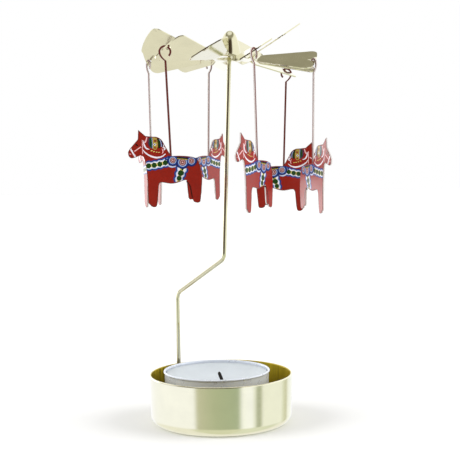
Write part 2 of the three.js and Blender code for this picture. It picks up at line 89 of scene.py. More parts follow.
class HOLDER_PG_sizes(bpy.types.PropertyGroup):
    """Sizes of the candle holder"""

    cup_diameter: length("Cup", "Diameter of the cup at its rim", 51)
    cup_draft: length("Cup draft", "How much the cup's wall leans out on each side", 0.4)
    cup_height: length("Cup height", "Height of the cup", 17.2)
    cup_wall: length("Cup wall", "Thickness of the cup's sheet", 0.7)
    cup_corner: length("Cup corner", "Radius between the cup's floor and wall", 3)
    wire: length("Wire", "Diameter of the post's wire", 1.45)
    bend: length("Bend", "Radius of the post's bends", 3.5)
    low_bend: length("Low bend", "Height of the post's lower bend", 44)
    high_bend: length("High bend", "Height of the post's upper bend", 58)
    post_offset: length("Post offset", "How far right of the cup's axis the upper bend lies", 1.8)
    needle: length("Needle", "Length of the post's point", 5)
    needle_tip: length("Needle tip", "Diameter of the post's point at its end", 0.4)
    wheel_diameter: length("Wheel", "Diameter of the wheel before its blades are twisted", 61.6)
    wheel_sheet: length("Wheel sheet", "Thickness of the wheel's sheet", 0.4)
    wheel_drop: length("Wheel drop", "How far the wheel's hub lies below the needle point", 9.1)
    blade_twist: angle("Blade twist", "Angle by which each blade is turned out of the sheet", 30)
    blade_corner: length("Blade corner", "Radius of a blade's outer corners", 2)
    blade_slit: length("Blade slit", "Width of the slit between two blades", 0.5)
    hub: length("Hub", "Diameter of the wheel's flat hub", 17)
    neck: length("Neck", "Length over which a blade twists", 2.5)
    hole: length("Hole", "Diameter of the hole that a charm hangs in", 1.81)
    hole_web: length("Hole web", "Sheet left between the hole and the blade's tip", 0.35)
    dome_diameter: length("Dome", "Diameter of the wheel's dome", 8.6)
    dome_height: length("Dome height", "Height of the wheel's dome over the hub", 10)
    charm_sheet: length("Charm sheet", "Thickness of a charm's sheet", 0.5)
    horse_length: length("Horse", "Scale of a horse, near its length", 23.6)
    stem: length("Stem", "Length of a charm's stem", 31)
    stem_width: length("Stem width", "Width of a charm's stem", 0.7)
    hook: length("Hook", "Inner radius of a charm's hook", 1.5)
    hook_stroke: length("Hook stroke", "Width of a charm's hook", 0.65)
    hook_tail: length("Hook tail", "Length over which the stem opens into the hook", 3)
    print_relief: length("Print relief", "Thickness of each layer of ink", 0.012)
    tealight: length("Tealight", "Diameter of the tealight over its rim", 38)
    tealight_height: length("Tealight height", "Height of the tealight", 17.4)
    tealight_bead: length("Tealight bead", "Thickness of the tealight's rolled rim", 0.8)
    foil: length("Foil", "Thickness of the tealight's cup", 0.3)
    pleat: length("Pleat", "Depth of the pleats in the tealight's wall", 0.12)
    wax_drop: length("Wax drop", "Height of the tealight's rim over the middle of its wax", 4)
    wax_climb: length("Wax climb", "How far the wax climbs towards the foil", 3)
    wick_offset: length("Wick offset", "How far the wick stands from the tealight's middle", 1.85)
    wick: length("Wick", "Diameter of the wick", 1.2)
    wick_rise: length("Wick rise", "Length of the wick over the wax", 3.2)


class HOLDER_PG_colours(bpy.types.PropertyGroup):
    """Colours of the candle holder"""

    brass: colour("Polished brass", "Brass plate on the wheel and post", "#DFDBBC")
    satin: colour("Satin brass", "Brass plate on the cup", "#EEECD0")
    inside: colour("Bare brass", "Inside of the cup", "#C4AE2E")
    # The dark ground shows on the stems and hooks, and round each horse's edge as painted edge shade.
    lacquer: colour("Red ink", "Horses", "#8F1806")
    ground: colour("Dark lacquer", "Ground of the charms, seen on stems and outlines", "#66302A")
    edge: colour("Charm edge", "Cut edge of the charms", "#DAD0CC")
    blue: colour("Blue ink", "Saddle and outer borders", "#17357F")
    navy: colour("Navy ink", "Shadow side of the saddle", "#141C50")
    light_blue: colour("Light blue ink", "Fine lines in the borders", "#9DB5DD")
    white: colour("White ink", "Harness and borders", "#E9E5EC")
    green: colour("Green ink", "Leaves on the girth and the breast strap", "#1B4210")
    yellow: colour("Yellow ink", "Ground of the girth and the breast strap", "#D6C86E")
    ochre: colour("Ochre ink", "Ground of the mane patch", "#A8933F")
    pink: colour("Pink ink", "Petals and fine strokes", "#E9B7B7")
    brown: colour("Brown ink", "Hearts of the flowers", "#723E36")
    rust: colour("Rust ink", "Flowers on the mane patch", "#8A3A1E")
    forest: colour("Forest ink", "Dark side of the mane patch and the saddle's top", "#14260C")
    teal: colour("Teal ink", "Side of the mane patch", "#214748")
    dark: colour("Dark ink", "Eye and leg line", "#3A0A08")
    foil: colour("Foil", "Tealight's aluminium", "#E2E8F2")
    wax: colour("Wax", "Tealight's paraffin", "#C9D0D5")
    wick: colour("Wick", "Charred cotton", "#1A1714")
    tin: colour("Tinplate", "Wick's foot", "#B4B6B8")


def in_millimetres(sizes):
    """The sizes as plain numbers, with every length in millimetres."""
    units = {key: MM if sizes.bl_rna.properties[key].unit == "LENGTH" else 1 for key in sizes.__annotations__}
    return SimpleNamespace(**{key: getattr(sizes, key) / unit for key, unit in units.items()})


# Modelling helpers

# Corners nearer to each other than this, in millimetres, are merged.
SAME_PLACE = 0.0005


def clear_selection():
    """Leaves edit mode and selects nothing."""
    if bpy.context.object and bpy.context.object.mode != "OBJECT":
        bpy.ops.object.mode_set(mode="OBJECT")
    bpy.ops.object.select_all(action="DESELECT")


def choose(*pieces):
    """Selects only these pieces, the first of them active."""
    clear_selection()
    for piece in pieces:
        piece.select_set(True)
    bpy.context.view_layer.objects.active = pieces[0]


def apply_modifier(piece, name, kind, **settings):
    """Adds a modifier with its settings and applies it."""
    choose(piece)
    modifier = piece.modifiers.new(name, kind)
    for key, value in settings.items():
        setattr(modifier, key, value)
    bpy.ops.object.modifier_apply(modifier=name)


def merge(piece, distance=SAME_PLACE):
    """Merges corners that coincide and turns all faces outwards."""
    choose(piece)
    bpy.ops.object.mode_set(mode="EDIT")
    bpy.ops.mesh.select_all(action="SELECT")
    bpy.ops.mesh.remove_doubles(threshold=distance)
    bpy.ops.mesh.normals_make_consistent(inside=False)
    bpy.ops.object.mode_set(mode="OBJECT")


def smooth(piece, degrees=35):
    """Shades a piece smooth, with edges sharper than an angle left crisp."""
    choose(piece)
    bpy.ops.object.shade_smooth_by_angle(angle=math.radians(degrees))


def finish_piece(piece, place, body, material=None, replaced=()):
    """Brings a piece from millimetres to metres and to its place, with its object at the origin, and gives it its
    material, its body and the nodes that it stands for."""
    choose(piece)
    piece.matrix_world = place @ Matrix.Scale(MM, 4)
    bpy.ops.object.transform_apply(location=True, rotation=True, scale=True)
    if material:
        piece.data.materials.clear()
        piece.data.materials.append(material)
    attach(piece, body)
    if replaced:
        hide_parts(*replaced)


def add_lines(name, lines, flat=False, closed=False):
    """A curve object with a straight-sided spline through each line of points."""
    clear_selection()
    bpy.ops.curve.primitive_bezier_curve_add(location=(0, 0, 0))
    piece = bpy.context.object
    piece.name = name
    piece.data.splines.clear()
    piece.data.dimensions = "2D" if flat else "3D"
    for line in lines:
        spline = piece.data.splines.new("POLY")
        spline.points.add(len(line) - 1)
        for point, place in zip(spline.points, line):
            point.co = (*place, 0, 1) if flat else (*place, 1)
        spline.use_cyclic_u = closed
    return piece


def to_mesh(piece):
    """Makes a curve a mesh, with its doubled corners merged."""
    choose(piece)
    bpy.ops.object.convert(target="MESH")
    piece = bpy.context.object
    merge(piece)
    return piece


def cut_sheet(name, outlines, half, bevel=0.0, inset=0.0):
    """Flat outlines cut from a sheet of half a thickness on each side of the drawing, with rounded edges. An inset
    draws the outlines in."""
    piece = add_lines(name, outlines, flat=True, closed=True)
    piece.data.fill_mode = "BOTH"
    piece.data.extrude = half - bevel
    piece.data.bevel_depth = bevel
    piece.data.bevel_resolution = 1
    piece.data.offset = -bevel - inset
    return to_mesh(piece)


def turn(name, profile, steps):
    """A profile of radius and height turned about the Z axis."""
    piece = to_mesh(add_lines(name, [[(radius, 0, height) for radius, height in profile]]))
    apply_modifier(piece, "turn", "SCREW", steps=steps, render_steps=steps, use_merge_vertices=True,
                   merge_threshold=SAME_PLACE)
    merge(piece)
    return piece


def arc(x, y, radius, start, end, steps):
    """Points of a circular arc, with its angles in degrees."""
    spots = [math.radians(start + (end - start) * i / steps) for i in range(steps + 1)]
    return [(x + radius * math.cos(spot), y + radius * math.sin(spot)) for spot in spots]


def bezier(start, first, second, end, steps):
    """Points of a cubic curve between two points, drawn towards two others."""
    points = [Vector(point) for point in (start, first, second, end)]
    line = []
    for step in range(steps + 1):
        t = step / steps
        weights = ((1 - t) ** 3, 3 * t * (1 - t) ** 2, 3 * t ** 2 * (1 - t), t ** 3)
        line.append(tuple(sum((weight * point for weight, point in zip(weights, points)), Vector((0, 0)))))
    return line


def through(points, steps=6):
    """A smooth line through points, as an even spline through them draws it."""
    points = [Vector(point) for point in points]
    line = []
    for before, here, there, after in zip(points[:1] + points, points, points[1:], points[2:] + points[-1:]):
        line += bezier(here, here + (there - before) / 6, there - (after - here) / 6, there, steps)[:-1]
    return [*line, tuple(points[-1])]


def bow(start, middle, end, steps):
    """Points of a quadratic curve between two points, drawn towards a third."""
    start, middle, end = Vector(start), Vector(middle), Vector(end)
    return bezier(start, start.lerp(middle, 2 / 3), end.lerp(middle, 2 / 3), end, steps)


def rounded_path(corners, radius, steps=14):
    """A line through corner points with its corners rounded."""
    corners = [Vector(corner) for corner in corners]
    path = [corners[0]]
    for before, corner, after in zip(corners, corners[1:], corners[2:]):
        inward, outward = (corner - before).normalized(), (after - corner).normalized()
        turning = inward.angle(outward)
        axis = inward.cross(outward).normalized()
        spoke = inward.cross(axis) * radius
        start = corner - inward * radius * math.tan(turning / 2)
        for step in range(steps + 1):
            path.append(start + Matrix.Rotation(turning * step / steps, 3, axis) @ spoke - spoke)
    path.append(corners[-1])
    return path


def wire(name, path, radius, ends):
    """A round wire along a path. Ends give the thickness at some of its points, by their number along the path, as
    shares of the radius."""
    path = [tuple(point) for point in path]
    piece = add_lines(name, [path])
    points = piece.data.splines[0].points
    for index, share in ends.items():
        points[index].radius = share
    piece.data.bevel_depth = radius
    piece.data.bevel_resolution = 6
    piece.data.use_fill_caps = True
    return to_mesh(piece)


# Materials


def add_node(tree, kind, inputs=None, feeds=None, stops=(), **settings):
    """Adds a shader node with its settings. Each input gets a value or a link from another node's output, a ramp gets
    its stops, each a place and a colour, and the node's first output feeds a socket."""
    node = tree.nodes.new(kind)
    for key, value in settings.items():
        setattr(node, key, value)
    for key, value in (inputs or {}).items():
        if isinstance(value, bpy.types.NodeSocket):
            tree.links.new(value, node.inputs[key])
        else:
            node.inputs[key].default_value = value
    if stops:
        elements = node.color_ramp.elements
        while len(elements) < len(stops):
            elements.new(0.5)
        for element, (place, level) in zip(elements, stops):
            element.position = place
            element.color = level
    if feeds:
        tree.links.new(node.outputs[0], feeds)
    return node


def vary_by(material, texture, shades=(), roughness=(), height=0.0, span=(0.3, 0.7)):
    """Lets a texture move a material's colour between two shades, given as a colour and two factors, and its roughness
    between two values, both over a span of the texture's own, and its surface up by a height in millimetres."""
    tree, grain = material.node_tree, texture.outputs["Fac"]
    sockets = tree.nodes["Principled BSDF"].inputs
    if shades:
        base, *factors = shades
        ends = [(*[min(1.0, level * factor) for level in base], 1.0) for factor in factors]
        add_node(tree, "ShaderNodeValToRGB", {"Fac": grain}, sockets["Base Color"], list(zip(span, ends)))
    if roughness:
        ends = dict(zip(("From Min", "From Max", "To Min", "To Max"), (*span, *roughness)))
        add_node(tree, "ShaderNodeMapRange", {"Value": grain, **ends}, sockets["Roughness"])
    if height:
        add_node(tree, "ShaderNodeBump", {"Height": grain, "Distance": height * MM}, sockets["Normal"])


def add_grain(material, apart, detail, stretch=None, **changes):
    """Lays a noise over a material, with its features this many millimetres apart and drawn out along the axes whose
    stretch is below 1, and lets it vary the material."""
    tree = material.node_tree
    place = add_node(tree, "ShaderNodeTexCoord").outputs["Object"]
    if stretch:
        place = add_node(tree, "ShaderNodeMapping", {"Vector": place, "Scale": stretch}).outputs[0]
    noise = add_node(tree, "ShaderNodeTexNoise", {"Vector": place, "Scale": 1 / (apart * MM), "Detail": detail})
    vary_by(material, noise, **changes)


def make_material(name, values, *grains):
    """A material with plain values on its shader and with its grains."""
    material = bpy.data.materials.new(name)
    material.use_nodes = True
    for key, value in values.items():
        material.node_tree.nodes["Principled BSDF"].inputs[key].default_value = value
    for grain in grains:
        add_grain(material, **grain)
    return material


def polished_brass(colours):
    """Steel plated with pale brass and polished. It mirrors the room, and its thin sheet isn't quite flat, so the
    mirror image wavers over about 14 mm. Faint smears from handling, about 6 mm across, dull it in places."""
    smears = dict(apart=6, detail=4.0, shades=(colours.brass, 0.94, 1.03), roughness=(0.05, 0.13))
    waver = dict(apart=14, detail=1.0, height=0.06)
    return make_material("polished_brass_plate", {"Metallic": 1.0}, smears, waver)


def satin_brass(colours):
    """Drawn brass plate, brushed round the wall on a lathe, with faint smears about 9 mm across. The brush lines run
    round the cup every 0.15 mm, drawn as 0.4 mm so that they show, and stretch reflections into upright streaks."""
    smears = dict(apart=9, detail=3.0, shades=(colours.satin, 0.96, 1.02))
    lines = dict(apart=0.4, detail=3.0, stretch=(0.04, 0.04, 1.0), roughness=(0.09, 0.15), height=0.002)
    material = make_material("satin_brass_plate", {"Metallic": 1.0, "Anisotropic": 0.6}, smears, lines)
    tangent = material.node_tree.nodes["Principled BSDF"].inputs["Tangent"]
    add_node(material.node_tree, "ShaderNodeTangent", feeds=tangent, direction_type="RADIAL", axis="Z")
    return material


def bare_brass(colours):
    """Brass as it left the drawing press, inside the cup. It is deeper in colour than the plate and has tarnished to
    a soft sheen. Faint upright draw marks about 1.5 mm apart vary its roughness, and their light and dark streaks of
    colour are painted reflection. Its metallic value is matched."""
    # The marks' light and dark upright streaks of colour are painted reflection. Their roughness is the real draw
    # marks.
    draw_marks_and_painted_streaks = dict(apart=1.5, detail=2.0, stretch=(1.0, 1.0, 0.06), shades=(colours.inside, 0.72, 1.2),
                 roughness=(0.26, 0.38))
    return make_material("bare_drawn_brass", {"Metallic": 0.6}, draw_marks_and_painted_streaks)


def lacquer(name, base, cloudiness=0.06):
    """Stoving lacquer or screen ink on stamped sheet. Its ground is even, a little cloudy over 2 mm, with a fine
    grain of 0.5 mm, and it shines white at a glancing angle."""
    cloud = dict(apart=2, detail=4.0, shades=(base, 1 - cloudiness, 1 + cloudiness))
    grit = dict(apart=0.5, detail=2.0, height=0.003)
    return make_material(name, {"Roughness": 0.24, "IOR": 1.52}, cloud, grit)


def cut_steel(colours):
    """Bare edge of stamped sheet, dull and pale, dragged by the shears over about 0.6 mm. It edges the charms with
    light, and its metallic value is matched."""
    drag = dict(apart=0.6, detail=3.0, shades=(colours.edge, 0.88, 1.08), roughness=(0.35, 0.5))
    return make_material("cut_sheet_edge", {"Metallic": 0.2}, drag)


def foil_metal(colours):
    """Thin drawn aluminium, bright and smooth, with faint rubbed patches about 4 mm across. Its metallic value is
    matched, because as full metal it mirrors only the brown inside of the cup."""
    rub = dict(apart=4, detail=3.0, shades=(colours.foil, 0.94, 1.02), roughness=(0.24, 0.34), height=0.012)
    return make_material("bright_aluminium_foil", {"Metallic": 0.3}, rub)


def paraffin(colours):
    """Cast paraffin wax. Light goes a few millimetres into it, and its top cooled with faint ripples 7 mm apart."""
    glow = {"Subsurface Weight": 0.35, "Subsurface Scale": 1.0, "Subsurface Radius": (2.5 * MM, 2.5 * MM, 2.8 * MM)}
    ripples = dict(apart=7, detail=3.0, shades=(colours.wax, 0.95, 1.02), height=0.12)
    return make_material("paraffin_wax", {"Roughness": 0.4, "IOR": 1.44, **glow}, ripples)


def charred_cotton(colours):
    """Braided cotton, charred matt black, whose strands go round once in about 4.4 mm of its length. At a scale of
    1, a wave texture's diagonal bands turn by ten radians in a metre along an axis."""
    material = make_material("charred_cotton_braid", {"Roughness": 0.95})
    place = add_node(material.node_tree, "ShaderNodeTexCoord").outputs["Object"]
    bands = {"Vector": place, "Scale": 2 * math.pi / (10 * 4.398 * MM), "Distortion": 2.0, "Detail": 1.0}
    braid = add_node(material.node_tree, "ShaderNodeTexWave", bands, wave_type="BANDS", bands_direction="DIAGONAL")
    vary_by(material, braid, shades=(colours.wick, 0.6, 1.8), height=0.08, span=(0.2, 0.8))
    return material


def dull_tinplate(colours):
    """Rolled tinplate, dull, with rolling lines 0.5 mm apart."""
    lines = dict(apart=0.5, detail=3.0, stretch=(0.05, 1.0, 1.0), shades=(colours.tin, 0.9, 1.02),
                 roughness=(0.3, 0.45))
    return make_material("dull_tinplate", {"Metallic": 1.0}, lines)


# Operators

# Rows of faces that keep the cup flat beside the bends of its floor and wall and beside its lip, in millimetres from
# them.
FLOOR_ROW, WALL_ROW, LIP_ROW = 0.2, 0.3, 0.15


class HOLDER_OT_cup(bpy.types.Operator):
    """Make the drawn cup that holds the tealight"""

    bl_idname = "holder.cup"
    bl_label = "Cup"

    def execute(self, context):
        sizes, colours = in_millimetres(context.scene.holder_sizes), context.scene.holder_colours
        outside, height = sizes.cup_diameter / 2, sizes.cup_height
        wall, corner = sizes.cup_wall, sizes.cup_corner
        flat = outside - sizes.cup_draft - corner
        lip = wall / 2
        run = height - lip - corner
        draft = (outside - flat - corner) / run
        profile = [(0, 0), (flat / 2, 0), (flat - FLOOR_ROW, 0), *arc(flat, corner, corner, -90, 0, steps=12)]
        profile += [(flat + corner + draft * rise, corner + rise) for rise in (WALL_ROW, height / 2, run - LIP_ROW)]
        profile += arc(outside - lip, height - lip, lip, 0, 180, steps=10)
        profile += [(flat + corner - wall + draft * rise, corner + rise) for rise in (run - LIP_ROW, WALL_ROW)]
        profile += arc(flat, corner, corner - wall, 0, -90, steps=12)
        profile += [(flat - FLOOR_ROW, wall), (flat / 2, wall), (0, wall)]
        cup = turn("cup", profile, steps=192)
        smooth(cup)
        finish_piece(cup, Matrix(), "base", satin_brass(colours), ["candle_cup"])
        cup.data.materials.append(bare_brass(colours))
        # The bare inside is where faces look towards the axis, and the top of the floor.
        for face in cup.data.polygons:
            middle = Vector((face.center.x, face.center.y, 0))
            inward = face.normal.dot(middle) < -0.2 * middle.length
            on_floor = face.normal.z > 0.9 and face.center.z < height * MM / 2
            face.material_index = 1 if inward or on_floor else 0
        return {"FINISHED"}


# The post's foot has a chamfer, as a share of the wire's radius. The needle's round end starts at a share of its
# length, and its thickness there and at the end are shares of the tip's diameter.
FOOT_CHAMFER = 0.3
TIP_START, TIP_SHOULDER, TIP_END = 0.97, 1.15, 0.6

# Wall of the post's tube and chamfer of its edges, in millimetres.
TUBE_WALL, TUBE_EDGE = 0.5, 0.12


class HOLDER_OT_post(bpy.types.Operator):
    """Make the wire post and the tube that it stands in"""

    bl_idname = "holder.post"
    bl_label = "Post"

    def execute(self, context):
        sizes = in_millimetres(context.scene.holder_sizes)
        low, high = (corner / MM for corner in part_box("post_socket"))
        middle = (low + high) / 2
        foot = Vector((middle.x, middle.y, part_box("post")[0].z / MM))
        lower, upper = Vector((foot.x, foot.y, sizes.low_bend)), Vector((sizes.post_offset, 0, sizes.high_bend))
        tip = Vector(JOINTS["rotor_spin"]["pos_m"]) / MM
        shoulder = tip - Vector(JOINTS["rotor_spin"]["axis"]) * sizes.needle
        radius, point = sizes.wire / 2, sizes.needle_tip / sizes.wire
        path = rounded_path([foot, lower, upper, shoulder], sizes.bend)
        path.insert(1, foot + Vector((0, 0, radius * FOOT_CHAMFER)))
        path += [shoulder.lerp(tip, TIP_START), tip]
        post = wire("wire_post", path, radius, {0: 1 - FOOT_CHAMFER, -2: point * TIP_SHOULDER, -1: point * TIP_END})
        smooth(post, degrees=50)
        finish_piece(post, Matrix(), "base", polished_brass(context.scene.holder_colours), ["post"])

        outer = (high.x - low.x) / 2
        bore, edge = outer - TUBE_WALL, TUBE_EDGE
        profile = [(bore, low.z), (outer - edge, low.z), (outer, low.z + edge), (outer, high.z - edge),
                   (outer - edge, high.z), (bore + edge, high.z), (bore, high.z - edge), (bore, low.z)]
        tube = turn("post_tube", profile, steps=64)
        smooth(tube, degrees=30)
        place = Matrix.Translation((middle.x * MM, middle.y * MM, 0))
        finish_piece(tube, place, "base", bpy.data.materials["satin_brass_plate"], ["post_socket"])
        return {"FINISHED"}


# The wheel's blades: their number, the columns and rows of faces in one, the hub's columns from one to the next, and
# where the first one points.
BLADES = 12
BLADE_COLUMNS = 24
CORNER_COLUMNS = 6
HUB_COLUMNS = BLADE_COLUMNS + 3
BLADE_ROWS = 22
NECK_ROWS = 10
WHEEL_TURN = -135

# The hub's flat part as a share of its radius, the dome's flare, fullness and bluntness as shares of its own size,
# and the height of its shoulder in millimetres.
HUB_FLAT = 0.85
DOME_FLARE, DOME_FULLNESS, DOME_BLUNTNESS = 0.2, 0.7, 0.45
DOME_SHOULDER = 2.45

# Blades that have been bent at the hub: the blade's number, how far up and how far round, in degrees.
BENT_BLADES = {0: (2, 0), 2: (0, 4), 3: (23.5, -2.5), 4: (-1.5, 0), 6: (-3.5, -6), 7: (23, 0), 8: (5.5, -6), 9: (3, 0),
               10: (-2, 0), 11: (13, 0)}


def neck_frame(sizes, blade, share):
    """Frame of a blade's middle line at a share of its neck, in the wheel's own frame and in millimetres."""
    up, round_angle = BENT_BLADES.get(blade, (0, 0))
    rise = math.radians(up) * share
    twist = (sizes.blade_twist + math.radians(round_angle)) * share * share * (3 - 2 * share)
    run = sizes.neck * share
    frame_here = Matrix.Rotation(math.radians(WHEEL_TURN + 360 * blade / BLADES), 4, "Z")
    frame_here @= Matrix.Translation((sizes.hub / 2 + run * math.cos(rise / 2), 0, run * math.sin(rise / 2)))
    frame_here @= Matrix.Rotation(-rise, 4, "Y")
    return frame_here @ Matrix.Rotation(twist, 4, "X")


def blade_ends(sizes):
    """Matching points on a flat blade's root and round its outer edge."""
    half = 180 / BLADES
    radius, corner = sizes.wheel_diameter / 2, sizes.blade_corner
    reach = radius - corner
    swing = half - math.degrees(math.asin((sizes.blade_slit / 2 + corner) / reach))
    x, y = reach * math.cos(math.radians(swing)), reach * math.sin(math.radians(swing))
    tip = arc(x, -y, corner, -half - 90, -swing, CORNER_COLUMNS)
    tip += arc(0, 0, radius, -swing, swing, BLADE_COLUMNS - 2 * CORNER_COLUMNS)[1:]
    tip += arc(x, y, corner, swing, half + 90, CORNER_COLUMNS)[1:]
    step = 360 / BLADES / HUB_COLUMNS
    root = arc(0, 0, sizes.hub / 2, -step * BLADE_COLUMNS / 2, step * BLADE_COLUMNS / 2, BLADE_COLUMNS)
    return root, tip


def add_blade(sizes, blade):
    """A grid shaped into one blade: fixed at the hub's edge, twisted along its neck and flat beyond."""
    hub, neck = sizes.hub / 2, sizes.neck
    root, tip = blade_ends(sizes)
    clear_selection()
    bpy.ops.mesh.primitive_grid_add(x_subdivisions=BLADE_COLUMNS, y_subdivisions=BLADE_ROWS, size=2)
    piece = bpy.context.object
    for corner in piece.data.vertices:
        column = round((corner.co.x + 1) / 2 * BLADE_COLUMNS)
        row = round((corner.co.y + 1) / 2 * BLADE_ROWS)
        near, far = Vector(root[column]), Vector(tip[column])
        bend_share = (hub + neck - near.x) / (far.x - near.x)
        share = bend_share * row / NECK_ROWS
        if row > NECK_ROWS:
            share = bend_share + (1 - bend_share) * (row - NECK_ROWS) / (BLADE_ROWS - NECK_ROWS)
        spot = near.lerp(far, share)
        turned = min(max((spot.x - hub) / neck, 0), 1)
        corner.co = neck_frame(sizes, blade, turned) @ Vector((spot.x - hub - neck * turned, spot.y, 0))
    return piece


def dome_profile(sizes):
    """Radius and height of the middle of the hub's sheet, from its edge to the dome's top."""
    sheet, top = sizes.wheel_sheet, sizes.dome_height
    radius, foot = sizes.dome_diameter / 2, sheet / 2
    flare = radius * DOME_FLARE
    shoulder, peak = (radius - flare / 2, DOME_SHOULDER), (0, top - foot)
    full = (radius * DOME_FULLNESS, peak[1] * DOME_FULLNESS)
    outside = [(sizes.hub / 2, foot), (sizes.hub / 2 * HUB_FLAT, foot)]
    outside += bow((radius + flare, foot), (radius, foot), shoulder, steps=8)
    outside += bezier(shoulder, full, (radius * DOME_BLUNTNESS, peak[1]), peak, steps=20)[1:]
    middle = []
    for i, (x, y) in enumerate(outside):
        before, after = Vector(outside[max(i - 1, 0)]), Vector(outside[min(i + 1, len(outside) - 1)])
        along = (after - before).normalized()
        middle.append((x - along.y * foot, y + along.x * foot))
    middle[-1] = (0, middle[-1][1])
    return middle


class HOLDER_OT_wheel(bpy.types.Operator):
    """Make the sheet wheel with its twisted blades, its dome and its holes"""

    bl_idname = "holder.wheel"
    bl_label = "Wheel"

    def execute(self, context):
        sizes = in_millimetres(context.scene.holder_sizes)
        wheel = turn("wheel", dome_profile(sizes), steps=BLADES * HUB_COLUMNS)
        wheel.data.transform(Matrix.Rotation(math.radians(WHEEL_TURN), 4, "Z"))
        choose(wheel, *[add_blade(sizes, blade) for blade in range(BLADES)])
        bpy.ops.object.join()
        merge(wheel, distance=0.003)
        apply_modifier(wheel, "sheet", "SOLIDIFY", thickness=sizes.wheel_sheet, offset=0.0, use_even_offset=True)

        reach = sizes.wheel_diameter / 2 - sizes.hole_web - sizes.hole / 2
        shift = Matrix.Translation((reach - sizes.hub / 2 - sizes.neck, 0, 0))
        punches = []
        for blade in range(0, BLADES, 2):
            clear_selection()
            bpy.ops.mesh.primitive_cylinder_add(vertices=40, radius=sizes.hole / 2, depth=2)
            punches.append(bpy.context.object)
            punches[-1].data.transform(neck_frame(sizes, blade, 1) @ shift)
        choose(*punches)
        bpy.ops.object.join()
        apply_modifier(wheel, "holes", "BOOLEAN", operation="DIFFERENCE", solver="EXACT", object=punches[0])
        bpy.data.objects.remove(punches[0])
        apply_modifier(wheel, "edges", "BEVEL", width=0.06, segments=2, limit_method="ANGLE",
                       angle_limit=math.radians(50))
        smooth(wheel, degrees=18)

        axis = Vector(JOINTS["rotor_spin"]["axis"])
        seat = Vector(JOINTS["rotor_spin"]["pos_m"]) - axis * sizes.wheel_drop * MM
        place = Matrix.Translation(seat) @ Matrix.Rotation(math.atan2(axis.x, axis.z), 4, "Y")
        finish_piece(wheel, place, "rotor", bpy.data.materials["polished_brass_plate"], ["rotor"])
        return {"FINISHED"}


# The horse, in hundredths of its length with its hooves level, nose to the right and the stem's foot at the origin.
# Each step is a straight line or a smooth line through its points. The stem leans by some degrees and goes a little
# way into the horse, in millimetres.
STEM_LEAN = 2.7
STEM_SINK = 0.4
HORSE = (
    ("smooth", (-12.7, -2.5), (-25.8, -4.7), (-34.3, -8.1), (-39, -16.1), (-40.7, -34.7), (-38.6, -50.8),
     (-35.6, -66.9)),
    ("smooth", (-34.3, -69.9), (-30.5, -70.8), (-25.8, -69.1)),
    ("straight", (-24.2, -65.3), (-20.3, -65.3), (-18.6, -62.3), (-18.6, -38.1)),
    ("smooth", (-15.7, -37.3), (-5.5, -39.8), (3.8, -40.3), (17.4, -37.3), (21.2, -41.5)),
    ("straight", (24.6, -61.9)),
    ("smooth", (27.1, -69.9), (31.8, -70.8), (34.7, -69.1)),
    ("straight", (37.3, -65.7), (38.6, -64)),
    ("smooth", (36.4, -34.7), (36, -18.6), (36.9, -8.1), (38.1, 0.4), (42.4, 3.4)),
    ("smooth", (50, 1.3), (55.5, 0.8), (58.9, 4.2), (59.3, 9.7)),
    ("smooth", (55.5, 14.8), (44.1, 25.8)),
    ("straight", (43.6, 27.5), (41.9, 39.4), (32.6, 29.7)),
    ("smooth", (23.3, 28), (16.5, 26.7), (10.6, 22), (7.2, 14.4), (3.8, 7.2)),
)


def horse_outline(sizes):
    """Outline of a horse from one side of its stem round to the other, in millimetres, with the stem upright."""
    scale = sizes.horse_length / 100
    lean = Matrix.Rotation(math.radians(-STEM_LEAN), 2)
    side = sizes.stem_width / 2
    outline = [(-side, -STEM_SINK)]
    for kind, *steps in HORSE:
        points = [tuple(lean @ Vector(step) * scale) for step in steps]
        if kind == "smooth":
            outline += through([outline[-1], *points])[1:]
        else:
            outline += points
    return outline + [(side, STEM_SINK)]


# How far a charm's hook goes round, in degrees.
HOOK_TURN = 230


def stem_outline(sizes):
    """Outline of the stem and its hook, up one side and down the other."""
    side, stem, inner = sizes.stem_width / 2, sizes.stem, sizes.hook
    outer = inner + sizes.hook_stroke
    middle, waist = stem + sizes.hook_tail, stem + sizes.hook_tail / 2
    outline = bow((side, stem), (outer, waist), (outer, middle), steps=8)
    outline += arc(0, middle, outer, 0, HOOK_TURN, steps=36)[1:]
    outline += arc(0, middle, inner, HOOK_TURN, 0, steps=36)
    return outline + bow((inner, middle), (inner, waist), (-side, stem), steps=8)[1:]


def hang_angle(sizes, outline):
    """Angle that a charm's stem leans when its weight hangs below its hook."""
    area, weight = 0.0, Vector((0, 0))
    for here, there in zip(outline, outline[1:] + outline[:1]):
        part = here[0] * there[1] - there[0] * here[1]
        area += part
        weight += (Vector(here) + Vector(there)) * part / 3
    weight /= area
    return math.atan2(weight.x, sizes.stem + sizes.hook_tail - weight.y)


# Ornament, in millimetres from the stem's foot. Its drawing is turned by some degrees from the charm's.
PRINT_TURN = 3.6

# Width of the dark band that the red leaves along a horse's edge, in millimetres, which is painted edge shade, and
# the red's thickness in layers.
PAINTED_EDGE_SHADE = 0.22
RED_LEVEL = 0.5

# Width left at the ends of a tapered stroke, as a share of its width.
TAPER = 0.35


def ribbon(points, width, scallop=0.0, pitch=1.0, end=None, taper=False):
    """Outline of a band along a smooth line, as wide at its end as given. Scallops bulge its edges, and a taper
    thins both ends."""
    line = [Vector(point) for point in through(points, steps=10)]
    left, right = [], []
    travel = 0.0
    for i, point in enumerate(line):
        share = i / (len(line) - 1)
        travel += (point - line[max(i - 1, 0)]).length
        along = (line[min(i + 1, len(line) - 1)] - line[max(i - 1, 0)]).normalized()
        across = Vector((-along.y, along.x))
        half = (width + ((end or width) - width) * share) / 2 + scallop * abs(math.sin(math.pi * travel / pitch))
        if taper:
            half *= TAPER + (1 - TAPER) * math.sin(math.pi * share)
        left.append(tuple(point + across * half))
        right.append(tuple(point - across * half))
    return left + right[::-1]


